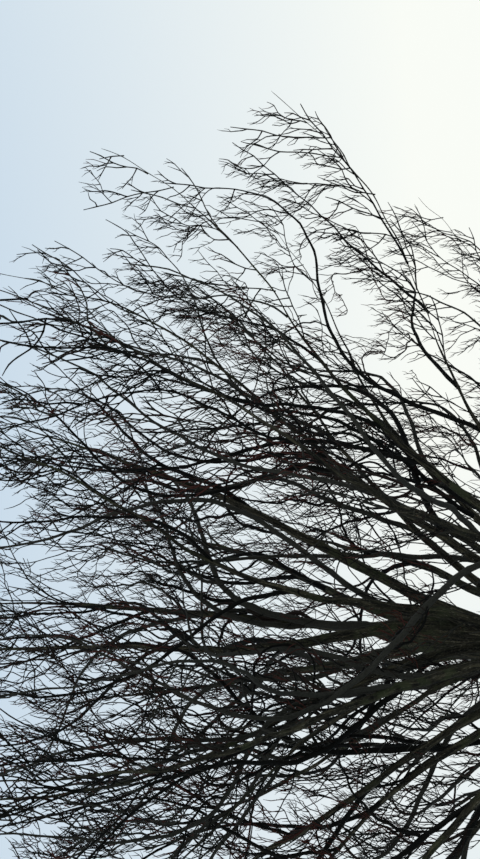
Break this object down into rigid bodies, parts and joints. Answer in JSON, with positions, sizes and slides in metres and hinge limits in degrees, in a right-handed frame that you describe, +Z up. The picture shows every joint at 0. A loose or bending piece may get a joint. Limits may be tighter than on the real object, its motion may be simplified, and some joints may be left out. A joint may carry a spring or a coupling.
{
  "type": "bare winter broadleaf tree",
  "caption": "Whole leafless broadleaf tree: short thick trunk with root flare, low fan of rising boughs and an egg-shaped crown of fine bare twigs.",
  "frame": {"origin": "middle of the flat cut under the trunk, at ground level", "axes": "+Z up along the foot of the trunk; the picture looks along +Y, slightly from the right and upwards, with +X to the right once the picture is turned upright"},
  "size_m": [12.2043, 12.2004, 11.8121],
  "materials": {
    "bark": "matt, smooth grey-brown bark with a green tinge and fine upright streaks",
    "twigs": "matt, dark grey-brown twig bark, reddish towards the buds"
  },
  "bodies": {
    "root": {"trunk": "bark", "bough_01": "bark", "bough_02": "bark", "bough_03": "bark", "bough_04": "bark", "bough_05": "bark", "bough_06": "bark", "bough_07": "bark", "bough_08": "bark", "bough_09": "bark", "bough_10": "bark", "bough_11": "bark", "bough_12": "bark", "bough_13": "bark", "bough_14": "bark", "bough_15": "bark", "bough_16": "bark", "bough_17": "bark", "bough_18": "bark", "bough_19": "bark", "bough_20": "bark", "bough_21": "bark", "bough_22": "bark", "bough_23": "bark", "bough_24": "bark", "bough_25": "bark", "bough_26": "bark", "bough_27": "bark", "bough_28": "bark", "twigs_01": "twigs", "twigs_02": "twigs", "twigs_03": "twigs", "twigs_04": "twigs", "twigs_05": "twigs", "twigs_06": "twigs", "twigs_07": "twigs", "twigs_08": "twigs", "twigs_09": "twigs", "twigs_10": "twigs", "twigs_11": "twigs", "twigs_12": "twigs", "twigs_13": "twigs", "twigs_14": "twigs", "twigs_15": "twigs", "twigs_16": "twigs", "twigs_17": "twigs", "twigs_18": "twigs", "twigs_19": "twigs", "twigs_20": "twigs", "twigs_21": "twigs", "twigs_22": "twigs", "twigs_23": "twigs", "twigs_24": "twigs", "twigs_25": "twigs", "twigs_26": "twigs", "twigs_27": "twigs", "twigs_28": "twigs", "twigs_top": "twigs"}
  },
  "joints": []
}
